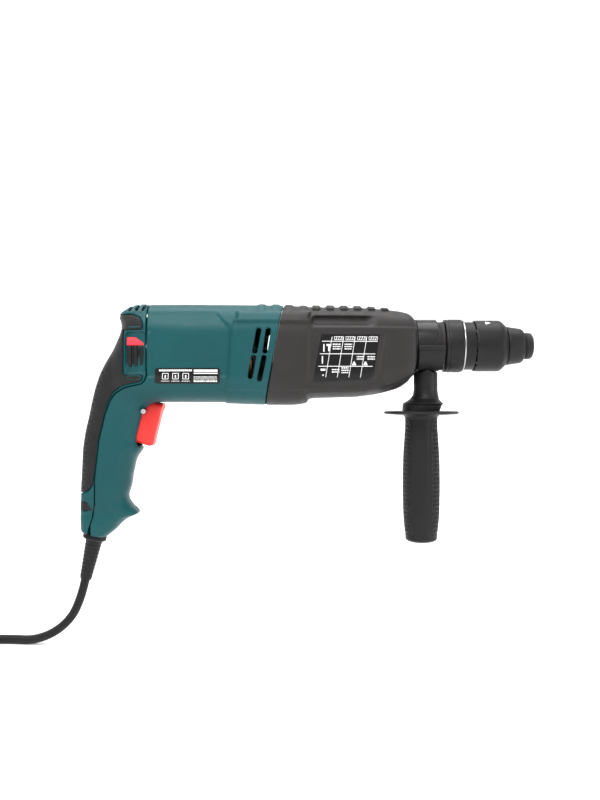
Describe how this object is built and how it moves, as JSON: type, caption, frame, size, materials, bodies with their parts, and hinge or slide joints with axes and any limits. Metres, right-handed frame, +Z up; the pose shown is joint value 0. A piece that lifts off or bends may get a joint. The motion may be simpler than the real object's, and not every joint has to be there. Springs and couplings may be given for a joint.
{
  "type": "rotary hammer",
  "caption": "Corded rotary hammer with pistol handle, quick-change chuck with a bit socket, clamped side handle, working gear train and a coiled mains lead.",
  "frame": {"origin": "centre of the bit socket's mouth, at the front of the dust cap", "axes": "+X along the spindle towards the bit, +Z up, away from the handles, +Y to the tool's left"},
  "size_m": [0.5627, 0.1539, 0.2914],
  "materials": {
    "teal_plastic": "fine satin moulded nylon",
    "dark_case": "warm dark grey, fine satin",
    "grip_rubber": "matte soft rubber",
    "black_plastic": "satin",
    "red_plastic": "smooth semi-gloss",
    "chuck_steel": "dark satin coating",
    "steel": "ground",
    "cast_alloy": "as cast",
    "label_film": "printed film",
    "copper_wire": "varnished copper windings",
    "carbon": "pressed carbon",
    "cord_rubber": "matte rubber sheath",
    "pin_metal": "nickel plated"
  },
  "bodies": {
    "housing": {"motor_housing": "teal_plastic", "handle_cover": "teal_plastic", "handle_grip_pad": "grip_rubber", "gear_housing": "dark_case", "nose_housing": "dark_case", "nose_screws": "steel", "data_plate": "label_film", "rating_label": "label_film", "trigger_pin": "steel", "switch_body": "black_plastic", "shaft_bearings": "steel", "stator_core": "steel", "field_coils": "copper_wire", "inner_housing": "cast_alloy", "middle_bearing_plate": "cast_alloy", "spindle_bearings": "steel", "cord_guard": "cord_rubber", "cord_clamp": "black_plastic", "power_cord": "cord_rubber", "cord_coil": "cord_rubber", "cord_tie": "cord_rubber", "plug_body": "cord_rubber", "plug_pins": "pin_metal"},
    "trigger": {"trigger": "red_plastic"},
    "reverser": {"reversing_slider": "black_plastic", "slider_mark": "red_plastic"},
    "brush_gear": {"brush_plate": "black_plastic", "carbon_brushes": "carbon", "brush_springs": "steel"},
    "dial": {"speed_dial": "black_plastic"},
    "mode_knob": {"mode_knob": "black_plastic"},
    "mode_button": {"mode_button": "red_plastic"},
    "spindle": {"spindle": "steel", "spindle_gear": "steel", "clutch_springs": "steel", "chuck_body": "chuck_steel", "tool_holder": "steel", "locking_balls": "steel", "nose_cone": "black_plastic", "dust_cap": "grip_rubber", "release_spring": "steel"},
    "intermediate": {"intermediate_shaft": "steel", "intermediate_gear": "steel", "wobble_hub": "steel"},
    "armature": {"armature_shaft": "steel", "armature_core": "steel", "armature_windings": "copper_wire", "commutator": "copper_wire", "cooling_fan": "black_plastic"},
    "wobble_arm": {"wobble_arm": "steel"},
    "piston": {"piston": "cast_alloy"},
    "piston_pin": {"piston_pin": "steel"},
    "striker": {"striker": "steel"},
    "impact_bolt": {"impact_bolt": "steel"},
    "release_sleeve": {"release_sleeve": "chuck_steel"},
    "change_sleeve": {"chuck_change_sleeve": "chuck_steel"},
    "side_handle": {"clamp_band": "chuck_steel", "side_handle_base": "black_plastic", "side_handle_bolt": "steel"},
    "side_grip": {"side_grip": "black_plastic"}
  },
  "joints": [
    {"name": "trigger_pull", "type": "hinge", "parent": "housing", "child": "trigger", "pos_m": [-0.331, 0, -0.056], "axis": [0, 1, 0], "range_deg": [0, 9], "stiffness_Nm_per_rad": 0.4, "springref_deg": -11.46},
    {"name": "reverser_slide", "type": "slide", "parent": "housing", "child": "reverser", "axis": [0, 0, 1], "range_m": [-0.0053, 0.003]},
    {"name": "brush_turn", "type": "hinge", "parent": "housing", "child": "brush_gear", "pos_m": [-0.32, 0, -0.0085], "axis": [1, 0, 0], "range_deg": [-7, 12]},
    {"name": "dial_turn", "type": "hinge", "parent": "housing", "child": "dial", "pos_m": [-0.3766, -0.0084, -0.136], "axis": [0, 0, 1], "range_deg": [-120, 120]},
    {"name": "mode_turn", "type": "hinge", "parent": "housing", "child": "mode_knob", "pos_m": [-0.16, 0.04, -0.008], "axis": [0, 1, 0], "range_deg": [-60, 120]},
    {"name": "mode_lock_press", "type": "slide", "parent": "mode_knob", "child": "mode_button", "axis": [0, -1, 0], "range_m": [0, 0.0012], "stiffness_N_per_m": 400, "springref_m": -0.002},
    {"name": "spindle_spin", "type": "hinge", "parent": "housing", "child": "spindle", "pos_m": [0, 0, 0], "axis": [1, 0, 0], "continuous": true},
    {"name": "intermediate_spin", "type": "hinge", "parent": "housing", "child": "intermediate", "pos_m": [-0.17, 0, -0.027], "axis": [1, 0, 0], "continuous": true},
    {"name": "armature_spin", "type": "hinge", "parent": "housing", "child": "armature", "pos_m": [-0.27, 0, -0.0085], "axis": [1, 0, 0], "continuous": true},
    {"name": "wobble_tilt", "type": "hinge", "parent": "housing", "child": "wobble_arm", "pos_m": [-0.182, 0, -0.027], "axis": [0, 1, 0], "range_deg": [-12, 12]},
    {"name": "piston_slide", "type": "slide", "parent": "housing", "child": "piston", "axis": [1, 0, 0], "range_m": [-0.0058, 0.0058]},
    {"name": "piston_pin_turn", "type": "hinge", "parent": "piston", "child": "piston_pin", "pos_m": [-0.182, 0, 0], "axis": [0, 1, 0], "range_deg": [-12.5, 12.5]},
    {"name": "striker_slide", "type": "slide", "parent": "piston", "child": "striker", "axis": [1, 0, 0], "range_m": [-0.0035, 0.0055]},
    {"name": "impact_bolt_slide", "type": "slide", "parent": "spindle", "child": "impact_bolt", "axis": [1, 0, 0], "range_m": [-0.0025, 0.003]},
    {"name": "release_slide", "type": "slide", "parent": "spindle", "child": "release_sleeve", "axis": [-1, 0, 0], "range_m": [0, 0.006], "stiffness_N_per_m": 1500, "springref_m": -0.004, "deforming": ["release_spring"]},
    {"name": "change_sleeve_turn", "type": "hinge", "parent": "spindle", "child": "change_sleeve", "pos_m": [0, 0, 0], "axis": [1, 0, 0], "range_deg": [0, 30]},
    {"name": "side_handle_turn", "type": "hinge", "parent": "housing", "child": "side_handle", "pos_m": [0, 0, 0], "axis": [1, 0, 0], "continuous": true},
    {"name": "side_grip_turn", "type": "hinge", "parent": "side_handle", "child": "side_grip", "pos_m": [-0.0953, 0, -0.1], "axis": [0, 0, 1], "range_deg": [0, 720]}
  ],
  "couplings": [
    {"joint": "intermediate_spin", "follows": "spindle_spin", "ratio": -3.5},
    {"joint": "armature_spin", "follows": "spindle_spin", "ratio": 15},
    {"joint": "brush_turn", "follows": "reverser_slide", "rad_per_m": -33.3},
    {"joint": "piston_slide", "follows": "wobble_tilt", "m_per_rad": 0.0273},
    {"joint": "piston_pin_turn", "follows": "wobble_tilt", "ratio": 1}
  ]
}
